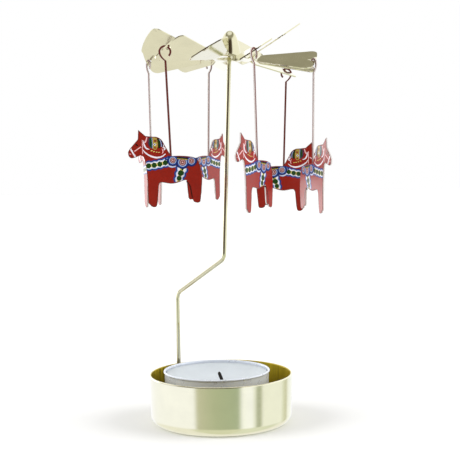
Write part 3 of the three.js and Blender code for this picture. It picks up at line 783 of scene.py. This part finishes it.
def spot(x, y, width, height, tilt=0.0, corners=16):
    """Outline of an oval, or of a lozenge with four corners."""
    turn_matrix = Matrix.Rotation(math.radians(tilt), 2)
    ring = arc(0, 0, 1, 0, 360, corners)[:-1]
    return [tuple(Vector((x, y)) + turn_matrix @ Vector((a * width / 2, b * height / 2))) for a, b in ring]


def trim(outline, start, end):
    """The part of an outline on the right-hand side of the line from start to end."""
    start, along = Vector(start), (Vector(end) - Vector(start)).normalized()
    depth = [along.x * (y - start.y) - along.y * (x - start.x) for x, y in outline]
    kept = []
    for i, here in enumerate(outline):
        there, d, e = outline[(i + 1) % len(outline)], depth[i], depth[(i + 1) % len(outline)]
        if d <= 0:
            kept.append(here)
        if (d < 0 < e) or (e < 0 < d):
            kept.append(tuple(Vector(here).lerp(Vector(there), d / (d - e))))
    return kept


# Edges that the ink keeps within, the middle lines of the breast strap and the girth, and the saddle's flowers: where
# their middles are, and the radii of their borders and petals.
BACK = ((-9.0, -0.95), (0.6, -0.4))
BELLY = ((-0.6, -9.25), (-4.2, -8.35))
STRAP = ((8.05, -3.8), (5.5, -3.5), (3.65, -3.1), (1.8, -2.6), (0.4, -2.2))
GIRTH = ((-4.0, -3.9), (-3.6, -5.1), (-3.1, -6.7), (-2.75, -8.2), (-2.5, -9.4))
FLOWERS = ((-0.7, -1.85, 1.95, 1.2), (-6.9, -1.95, 1.85, 1.15), (-3.95, -2.45, 2.2, 1.45))


def girth(width, end, scallop=0.0):
    """A band down the girth, ending at the belly."""
    return trim(ribbon(GIRTH, width, scallop, 1.8, end), *BELLY)


def flower(number, share, outer=False):
    """A round of a saddle flower, as a share of its petals or of its border, ending at the back."""
    x, y, border, petals = FLOWERS[number]
    radius = (border if outer else petals) * share
    return trim(spot(x, y, 2 * radius, 2 * radius, corners=32), *BACK)


def ornament():
    """The horse's flower ornament: layers of ink from the lowest up, each with its colour and its outlines."""
    sides, middle, every = (0, 1), (2,), (0, 1, 2)
    lozenges = [spot(7.3, -3.72, 1.8, 1.9, 6, 6), spot(5.45, -3.5, 1.85, 1.95, 9, 6),
                spot(3.6, -3.12, 1.85, 1.95, 13, 6), spot(1.8, -2.65, 1.8, 1.9, 16, 6)]
    leaves = [spot(-3.4, -6.0, 2.15, 2.0, -12, 8), spot(-2.85, -7.75, 1.75, 1.75, -12, 8),
              spot(-3.9, -4.75, 0.9, 0.7, -12, 4)]
    return (
        ("blue", 1, [ribbon(STRAP, 2.95, 0.32, 1.85), girth(3.8, 2.7, 0.42)]),
        ("navy", 1, [ribbon(((3.35, 4.75), (2.95, 3.9), (2.7, 2.6)), 0.4),
                     ribbon(((7.5, 5.6), (7.55, 4.2), (7.1, 2.7)), 0.22)]),
        ("teal", 1, [[(7.2, 5.7), (6.35, 5.72), (6.15, 3.8), (6.2, 2.05), (6.85, 2.3), (7.25, 3.6), (7.35, 4.8)]]),
        ("ochre", 1, [[(6.1, 5.72), (4.75, 5.62), (4.35, 3.9), (4.35, 2.6), (4.75, 1.75), (5.5, 1.6), (5.95, 2.2),
                       (5.95, 3.8)]]),
        ("forest", 1, [[(4.65, 5.6), (3.95, 5.25), (3.5, 4.3), (3.35, 3.2), (3.45, 2.2), (4.15, 2.1), (4.2, 3.6)]]),
        ("dark", 1, [spot(11.25, 3.1, 1.1, 0.55, 38), ribbon(((-5.3, -8.7), (-6.5, -10.3), (-7.3, -14.2)), 0.4)]),
        ("white", 1, [ribbon(((13.3, 1.85), (12.6, 0.6), (11.7, -0.8)), 0.5),
                      ribbon(((9.25, 1.6), (8.1, 0.35), (6.3, -0.6), (4.4, -0.95), (2.8, -0.5), (1.7, 0.35)), 0.55,
                             taper=True),
                      ribbon(((2.45, 3.35), (2.55, 2.6), (1.95, 2.2), (2.15, 1.5), (1.55, 1.15)), 0.42),
                      ribbon(((8.95, 4.6), (8.85, 3.3), (8.2, 2.15), (7.1, 1.75)), 0.5, taper=True)]),
        ("pink", 1, [ribbon(((7.95, 5.7), (8.2, 4.7), (8.55, 3.9)), 0.4),
                     ribbon(((9.45, 4.8), (9.3, 0.2)), 0.25), ribbon(((12.05, 1.0), (9.85, 2.55)), 0.34),
                     ribbon(((2.95, 2.1), (2.55, 1.05), (2.9, 0.35)), 0.3, taper=True),
                     spot(13.4, 0.1, 0.6, 0.25, 10)]),
        ("yellow", 1, [spot(6.35, 1.3, 0.66, 0.3, -20), spot(5.55, 1.02, 0.66, 0.3, -15),
                       spot(4.7, 0.84, 0.66, 0.3, -8), spot(3.9, 0.78, 0.6, 0.3, 0)]),
        ("light_blue", 2, [ribbon(STRAP, 2.05, 0.28, 1.85), girth(2.75, 1.75, 0.35),
                           ribbon(((6.3, 5.65), (6.1, 3.8), (6.1, 2.1)), 0.16),
                           ribbon(((3.8, 5.1), (3.3, 4.2), (3.1, 2.6)), 0.2)]),
        ("green", 2, [[(6.95, 5.3), (6.55, 5.3), (6.4, 3.8), (6.4, 2.5), (6.75, 2.7), (7.0, 3.7)],
                      [(4.45, 5.2), (4.1, 5.0), (3.75, 4.1), (3.7, 2.6), (3.95, 2.6), (4.0, 3.7)]]),
        ("rust", 2, [spot(5.2, 4.55, 0.95, 0.85), spot(5.15, 2.3, 0.8, 0.7)]),
        ("white", 2, [spot(5.3, 3.35, 0.95, 0.9, 0, 4)]),
        ("white", 3, [ribbon(STRAP, 1.65, 0.25, 1.85), girth(2.25, 1.3, 0.3)]),
        ("navy", 3, [spot(5.3, 3.35, 0.5, 0.5, 0, 4)]),
        ("yellow", 4, [ribbon(STRAP, 1.1), girth(1.3, 0.9)]),
        ("blue", 4.2, [ribbon(((1.9, -1.6), (1.0, -1.1), (0.55, -0.45)), 1.1, taper=True)]),
        ("light_blue", 4.4, [ribbon(((1.35, -1.35), (0.95, -1.1), (0.65, -0.65)), 0.4, taper=True),
                             ribbon(((1.0, -3.5), (-0.4, -3.98), (-1.8, -3.7)), 0.6, taper=True)]),
        ("white", 4.6, [ribbon(((0.8, -3.5), (-0.4, -3.9), (-1.6, -3.65)), 0.25, taper=True)]),
        ("green", 5, lozenges + leaves),
        ("navy", 5, [flower(i, 1.0, True) for i in sides]),
        ("blue", 6, [flower(i, 0.87, True) for i in sides]),
        ("navy", 7, [flower(i, 1.0, True) for i in middle]),
        ("blue", 8, [flower(i, 0.88, True) for i in middle]),
        ("light_blue", 9, [flower(i, 1.0) for i in every]),
        ("brown", 10, [flower(i, 0.8) for i in every]),
        ("pink", 11, [flower(i, 0.56) for i in every]),
        ("brown", 12, [flower(i, 0.46) for i in every]),
        ("pink", 13, [flower(i, 0.18) for i in every]),
        ("ochre", 14, [ribbon(((-2.1, -1.2), (-3.9, -1.35), (-5.6, -1.5)), 0.34)]),
        ("forest", 15, [ribbon(((-2.1, -0.86), (-3.9, -1.0), (-5.6, -1.16)), 0.46)]),
    )


class HOLDER_OT_charms(bpy.types.Operator):
    """Make the six horses with their stems, hooks and printed ornament"""

    bl_idname = "holder.charms"
    bl_label = "Charms"

    def execute(self, context):
        sizes, colours = in_millimetres(context.scene.holder_sizes), context.scene.holder_colours
        half = sizes.charm_sheet / 2
        horse = horse_outline(sizes)
        outline = horse + stem_outline(sizes)
        body = cut_sheet("charm", [outline], half, bevel=0.05)
        # The dark lacquer shows on the stems and hooks, and as painted edge shade where the red stops short of the
        # edge.
        body.data.materials.append(lacquer("dark_lacquer", colours.ground))
        body.data.materials.append(cut_steel(colours))
        # The cut edge is where faces look sideways.
        for face in body.data.polygons:
            face.material_index = 0 if abs(face.normal.z) > 0.3 else 1
        smooth(body, degrees=40)

        inks = {}
        # The red is drawn in from the horse's edge, which leaves a band of painted edge shade.
        coat = cut_sheet("print", [horse], half + RED_LEVEL * sizes.print_relief, inset=PAINTED_EDGE_SHADE)
        coat.data.materials.append(lacquer("red_ink", colours.lacquer))
        layers = [coat]
        turn_print = Matrix.Rotation(math.radians(PRINT_TURN), 2)
        for ink, level, outlines in ornament():
            if ink not in inks:
                inks[ink] = lacquer(f"{ink}_ink", getattr(colours, ink), cloudiness=0.12)
            turned = [[tuple(turn_print @ Vector(point)) for point in shape] for shape in outlines]
            layer = cut_sheet("print", turned, half + level * sizes.print_relief)
            layer.data.materials.append(inks[ink])
            layers.append(layer)
        choose(*layers)
        bpy.ops.object.join()
        ornament_piece = bpy.context.object

        hang = hang_angle(sizes, outline)
        drop = Matrix.Translation((0, -(sizes.stem + sizes.hook_tail) * MM, 0))
        for number in range(1, 7):
            joint = JOINTS[f"charm_{number}_swing"]
            axis = Vector(joint["axis"])
            place = Matrix.Translation(joint["pos_m"])
            place @= Matrix.Rotation(math.atan2(axis.x, -axis.y), 4, "Z")
            place @= Matrix.Rotation(math.radians(90), 4, "X") @ Matrix.Rotation(-hang, 4, "Z") @ drop
            for original, name in ((body, "horse"), (ornament_piece, "horse_print")):
                choose(original)
                bpy.ops.object.duplicate(linked=False)
                piece = bpy.context.object
                piece.name = f"{name}_{number}"
                replaced = [f"horse_charm_{number}"] if original is body else []
                finish_piece(piece, place, f"charm_{number}", None, replaced)
        bpy.data.objects.remove(body)
        bpy.data.objects.remove(ornament_piece)
        return {"FINISHED"}


# The tealight's foil, in millimetres: how much its wall leans out, and the width left flat round its floor. Its rim's
# bead starts at an angle in degrees.
FOIL_DRAFT = 0.5
FLOOR_MARGIN = 1
BEAD_START = -60
FOIL_ROWS = 24

# The pleats in the foil's wall: their number, the columns of faces in one, and in millimetres the heights over which
# they fade out below the rim and start over the floor, and how far in they reach.
PLEATS = 96
PLEAT_COLUMNS = 4
PLEAT_FADE, PLEAT_START, PLEAT_REACH = 3, 1, 0.9

# The wax, in millimetres: the gap left round it and the chamfer of its edge. The wick's foot in it is a disc with a
# tube.
GAP = 0.25
WAX_EDGE = 0.15
WAX_RINGS = 24
CLIP_RADIUS, CLIP_HEIGHT, CLIP_SHEET = 6, 3, 0.4

# The wick's bend, in degrees and millimetres, and where its burnt end starts along the part over the bend, with its
# thickness there and at its end, as shares.
WICK_LEAN, WICK_BEND = 20, 2
BURN_START, BURN_SHOULDER, BURN_END = 0.8, 0.95, 0.55


class HOLDER_OT_tealight(bpy.types.Operator):
    """Make the tealight's pleated cup, its wax and its wick, and give the wick's foot its tinplate"""

    bl_idname = "holder.tealight"
    bl_label = "Tealight"

    def execute(self, context):
        sizes, colours = in_millimetres(context.scene.holder_sizes), context.scene.holder_colours
        low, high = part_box("tealight_cup")
        middle = (low + high) / 2
        place = Matrix.Translation((middle.x, middle.y, low.z))
        radius, height, bead = sizes.tealight / 2, sizes.tealight_height, sizes.tealight_bead / 2
        foil, pleat = sizes.foil, sizes.pleat
        rim, neck = height - bead, height - 2 * bead

        def wall(level):
            """Distance from the axis to the wall's outside at a height."""
            return radius - FOIL_DRAFT + (FOIL_DRAFT - bead) * level / height

        flat = wall(0) - FLOOR_MARGIN
        levels = [neck * i / FOIL_ROWS for i in range(FOIL_ROWS + 1)]
        profile = [(0, 0), (flat, 0), *[(wall(level), level) for level in levels]]
        profile += arc(radius - bead, rim, bead, BEAD_START, 180, steps=14)
        profile += [(wall(level) - foil, max(level, foil)) for level in levels[::-1]] + [(flat, foil), (0, foil)]
        cup = turn("tealight_foil", profile, steps=PLEATS * PLEAT_COLUMNS)
        for corner in cup.data.vertices:
            x, y, z = corner.co
            reach = math.hypot(x, y)
            share = min(1, max(0, (neck - PLEAT_FADE - z) / PLEAT_FADE)) * min(1, z / PLEAT_START)
            if reach > wall(z) - PLEAT_REACH and share > 0:
                shrink = 1 - pleat * share * (0.5 + 0.5 * math.cos(math.atan2(y, x) * PLEATS)) / reach
                corner.co = (x * shrink, y * shrink, z)
        smooth(cup, degrees=50)
        finish_piece(cup, place, "tealight", foil_metal(colours), ["tealight_cup"])

        top, climb = height - sizes.wax_drop, sizes.wax_climb
        brim, base, inset = top + climb, foil + GAP, foil + GAP + pleat
        edge = wall(brim) - foil - GAP
        profile = [(0, base), (wall(base) - inset, base), (wall(neck / 2) - inset, neck / 2), (edge, brim - WAX_EDGE),
                   (edge - WAX_EDGE, brim)]
        shares = [1 - i / WAX_RINGS for i in range(1, WAX_RINGS)]
        profile += [(edge * share, top + climb * share * share) for share in shares] + [(0, top)]
        wax = turn("wax", profile, steps=128)
        wick_radius, under, over = sizes.wick / 2, base - CLIP_HEIGHT, base + 1
        # Rooms in the wax for the wick and for its foot's disc and tube: corners, radius, bottom and lid.
        rooms = ((32, wick_radius + GAP, over, over + height),
                 (48, CLIP_RADIUS + GAP, under, base + 2 * GAP + CLIP_SHEET),
                 (32, wick_radius + 2 * GAP + CLIP_SHEET, under, base + CLIP_HEIGHT + GAP))
        for corners, reach, bottom, lid in rooms:
            clear_selection()
            bpy.ops.mesh.primitive_cylinder_add(vertices=corners, radius=reach, depth=lid - bottom,
                                                location=(sizes.wick_offset, 0, (bottom + lid) / 2))
            room = bpy.context.object
            apply_modifier(wax, "room", "BOOLEAN", operation="DIFFERENCE", solver="EXACT", object=room)
            bpy.data.objects.remove(room)
        smooth(wax, degrees=40)
        finish_piece(wax, place, "tealight", paraffin(colours), ["tealight_wax"])

        rise, lean = sizes.wick_rise, math.radians(WICK_LEAN)
        tip = Vector((-rise * math.sin(lean), 0, top + rise * math.cos(lean)))
        path = rounded_path([(0, 0, base + CLIP_SHEET + GAP), (0, 0, top), tip], WICK_BEND)
        path.insert(-1, path[-2].lerp(tip, BURN_START))
        wick = wire("wick", path, wick_radius, {-2: BURN_SHOULDER, -1: BURN_END})
        smooth(wick, degrees=50)
        place @= Matrix.Translation((sizes.wick_offset * MM, 0, 0))
        finish_piece(wick, place, "tealight", charred_cotton(colours), ["tealight_wick"])

        clip = frame["nodes"]["wick_clip"]
        clip.data.materials.clear()
        clip.data.materials.append(dull_tinplate(colours))
        return {"FINISHED"}


# Camera: place in millimetres, focal length in pixels of a picture 460 wide, turns in degrees, and sensor in
# millimetres.
CAMERA_PLACE = (-4.743, -355.46, 88.545)
CAMERA_FOCUS = 1003.25
PICTURE_WIDTH = 460
CAMERA_YAW, CAMERA_PITCH, CAMERA_ROLL = 1.413, 3.272, -0.835
SENSOR_WIDTH = 36

# The floor's side and how far it lies below the cup, in metres.
FLOOR_SIDE, FLOOR_DROP = 8, 0.0001

# Two soft lights from the sides: their strength, their breadth in degrees and the way that the left one's light goes.
# The last is the strength of the light from all round.
SIDE_LIGHT, SIDE_BREADTH = 1.9, 50
SIDE_WAY = (0.85, 0.12, -0.5)
ROUND_LIGHT = 0.62

# Light that bright surfaces mirror, by its direction in degrees from the camera, to the right: on the floor, low over
# it, where the cup's wall mirrors it, level with the horses, higher, and overhead. Over the cup, the camera's side is
# dim and a bright wall stands right of it. Level with the horses, a strip lamp stands behind on the left.
FLOOR_RING = ((-180, (0.98, 0.97, 0.95)), (-60, (0.98, 0.97, 0.95)), (-46, (0.83, 0.84, 0.72)),
              (-36, (0.77, 0.79, 0.64)), (29, (0.77, 0.79, 0.64)), (38, (0.83, 0.86, 0.76)), (66, (0.82, 0.85, 0.75)),
              (104, (0.8, 0.83, 0.73)), (118, (0.98, 0.97, 0.95)), (180, (0.98, 0.97, 0.95)))
LOW_RING = ((-180, (1.1, 1.11, 1.24)), (-46, (1.1, 1.11, 1.24)), (-39, (0.62, 0.62, 0.5)), (-10, (0.5, 0.55, 0.4)),
            (26, (0.43, 0.5, 0.37)), (34, (1.08, 1.1, 1.2)), (51, (1.1, 1.12, 1.27)), (53, (0.86, 0.88, 0.84)),
            (54, (1.06, 1.08, 1.1)), (59, (0.47, 0.5, 0.4)), (65, (0.47, 0.5, 0.4)), (70, (1.0, 1.02, 1.02)),
            (112, (1.0, 1.02, 1.02)), (118, (0.84, 0.87, 0.77)), (125, (0.7, 0.7, 0.58)), (130, (0.7, 0.7, 0.58)),
            (136, (1.03, 1.06, 1.08)), (180, (1.1, 1.11, 1.24)))
DIM_SIDE = ((-25, (0.16, 0.12, 0.1)), (-12, (0.06, 0.04, 0.025)), (12, (0.06, 0.04, 0.025)), (30, (0.2, 0.17, 0.15)),
            (36, (1.15, 1.15, 1.15)), (180, (1.2, 1.2, 1.2)))
LEVEL_RING = ((-180, (1.2, 1.2, 1.2)), (-158, (1.3, 1.3, 1.3)), (-150, (2.6, 2.6, 2.6)), (-140, (2.8, 2.8, 2.8)),
              (-132, (4.2, 4.2, 4.2)), (-122, (4.2, 4.2, 4.2)), (-112, (0.4, 0.38, 0.36)), *DIM_SIDE)
HIGH_RING = ((-180, (1.2, 1.2, 1.2)), (-84, (1.15, 1.15, 1.15)), (-74, (0.3, 0.28, 0.26)), *DIM_SIDE)
CEILING = ((-180, (0.39, 0.37, 0.3)), (180, (0.39, 0.37, 0.3)))
CEILING_LAMP = ((-180, (1.05, 1.05, 1.05)), (180, (1.05, 1.05, 1.05)))

# The bands over the floor. Each takes over from the one below between two heights of direction, from -1, straight
# down, to 1, straight up.
ROOM = ((-0.5, -0.3, LOW_RING), (-0.17, -0.08, LEVEL_RING), (0.12, 0.16, HIGH_RING), (0.66, 0.76, CEILING),
        (0.84, 0.92, CEILING_LAMP))


def room_light(tree):
    """The light of the room by direction, as a node's output."""
    way = add_node(tree, "ShaderNodeTexCoord").outputs["Generated"]
    parts = add_node(tree, "ShaderNodeSeparateXYZ", {0: way}).outputs
    towards = add_node(tree, "ShaderNodeMath", {0: parts["Y"], 1: -1.0}, operation="MULTIPLY").outputs[0]
    bearing = add_node(tree, "ShaderNodeMath", {0: parts["X"], 1: towards}, operation="ARCTAN2").outputs[0]
    share = add_node(tree, "ShaderNodeMapRange", {0: bearing, 1: -math.pi, 2: math.pi}).outputs[0]
    bands = []
    for ring in (FLOOR_RING, *[ring for low, high, ring in ROOM]):
        stops = [((degrees + 180) / 360, (*level, 1.0)) for degrees, level in ring]
        bands.append(add_node(tree, "ShaderNodeValToRGB", {0: share}, stops=stops).outputs[0])
    light = bands[0]
    for (low, high, ring), band in zip(ROOM, bands[1:]):
        rise = add_node(tree, "ShaderNodeMapRange", {0: parts["Z"], 1: low, 2: high}, interpolation_type="SMOOTHSTEP")
        light = add_node(tree, "ShaderNodeMix", {0: rise.outputs[0], 6: light, 7: band}, data_type="RGBA").outputs[2]
    return light


class HOLDER_OT_stage(bpy.types.Operator):
    """Set the floor, the studio light and the camera"""

    bl_idname = "holder.stage"
    bl_label = "Stage"

    def execute(self, context):
        scene = context.scene
        scene.view_settings.view_transform = "Standard"
        clear_selection()
        bpy.ops.mesh.primitive_plane_add(size=FLOOR_SIDE, location=(0, 0, -FLOOR_DROP))
        floor = bpy.context.object
        floor.name = "floor"
        paper = make_material("white_paper_sweep", {"Roughness": 0.7, "Base Color": (*linear("#F8F8F7"), 1.0)})
        floor.data.materials.append(paper)
        floor.visible_glossy = False

        world = bpy.data.worlds.new("studio")
        world.use_nodes = True
        scene.world = world
        tree = world.node_tree
        tree.nodes.clear()
        ray = add_node(tree, "ShaderNodeLightPath").outputs
        mirrored = add_node(tree, "ShaderNodeMath", {0: ray["Is Glossy Ray"], 1: ray["Is Transmission Ray"]},
                            operation="MAXIMUM").outputs[0]
        lights = ((1, 1, 1, 1), ROUND_LIGHT), (room_light(tree), 1.0), ((1, 1, 1, 1), 1.0)
        soft, room, white = (add_node(tree, "ShaderNodeBackground", {"Color": light, "Strength": strength}).outputs[0]
                             for light, strength in lights)
        unseen = add_node(tree, "ShaderNodeMixShader", {0: mirrored, 1: soft, 2: room}).outputs[0]
        light = add_node(tree, "ShaderNodeMixShader", {0: ray["Is Camera Ray"], 1: unseen, 2: white}).outputs[0]
        add_node(tree, "ShaderNodeOutputWorld", {"Surface": light})

        for name, side in (("left_light", 1), ("right_light", -1)):
            way = Vector((side * SIDE_WAY[0], *SIDE_WAY[1:]))
            bpy.ops.object.light_add(type="SUN", rotation=way.to_track_quat("-Z", "Y").to_euler())
            sun = bpy.context.object
            sun.name = name
            sun.data.energy = SIDE_LIGHT
            sun.data.angle = math.radians(SIDE_BREADTH)
            sun.visible_glossy = False

        bpy.ops.object.camera_add(location=[part * MM for part in CAMERA_PLACE])
        camera = bpy.context.object
        aim = Matrix.Rotation(math.radians(-CAMERA_YAW), 4, "Z")
        aim @= Matrix.Rotation(math.radians(90 - CAMERA_PITCH), 4, "X")
        aim @= Matrix.Rotation(math.radians(CAMERA_ROLL), 4, "Z")
        camera.rotation_euler = aim.to_euler()
        camera.data.sensor_width = SENSOR_WIDTH
        camera.data.lens = CAMERA_FOCUS * SENSOR_WIDTH / PICTURE_WIDTH
        camera.data.clip_start = 0.01
        scene.camera = camera
        return {"FINISHED"}


class HOLDER_PT_panel(bpy.types.Panel):
    """Lists the candle holder's pieces, sizes and colours"""

    bl_idname = "HOLDER_PT_panel"
    bl_label = "Candle holder"
    bl_space_type = "VIEW_3D"
    bl_region_type = "UI"
    bl_category = "Candle holder"

    def draw(self, context):
        for operator in OPERATORS:
            self.layout.operator(operator.bl_idname)
        for group in (context.scene.holder_sizes, context.scene.holder_colours):
            column = self.layout.column()
            for key in group.__annotations__:
                column.prop(group, key)


OPERATORS = (HOLDER_OT_cup, HOLDER_OT_post, HOLDER_OT_wheel, HOLDER_OT_charms, HOLDER_OT_tealight, HOLDER_OT_stage)
CLASSES = (HOLDER_PG_sizes, HOLDER_PG_colours, *OPERATORS, HOLDER_PT_panel)


def register():
    for item in CLASSES:
        bpy.utils.register_class(item)
    bpy.types.Scene.holder_sizes = PointerProperty(type=HOLDER_PG_sizes)
    bpy.types.Scene.holder_colours = PointerProperty(type=HOLDER_PG_colours)


def unregister():
    del bpy.types.Scene.holder_colours
    del bpy.types.Scene.holder_sizes
    for item in reversed(CLASSES):
        bpy.utils.unregister_class(item)


def main():
    register()
    bpy.ops.holder.cup()
    bpy.ops.holder.post()
    bpy.ops.holder.wheel()
    bpy.ops.holder.charms()
    bpy.ops.holder.tealight()
    bpy.ops.holder.stage()


if __name__ == "__main__":
    main()
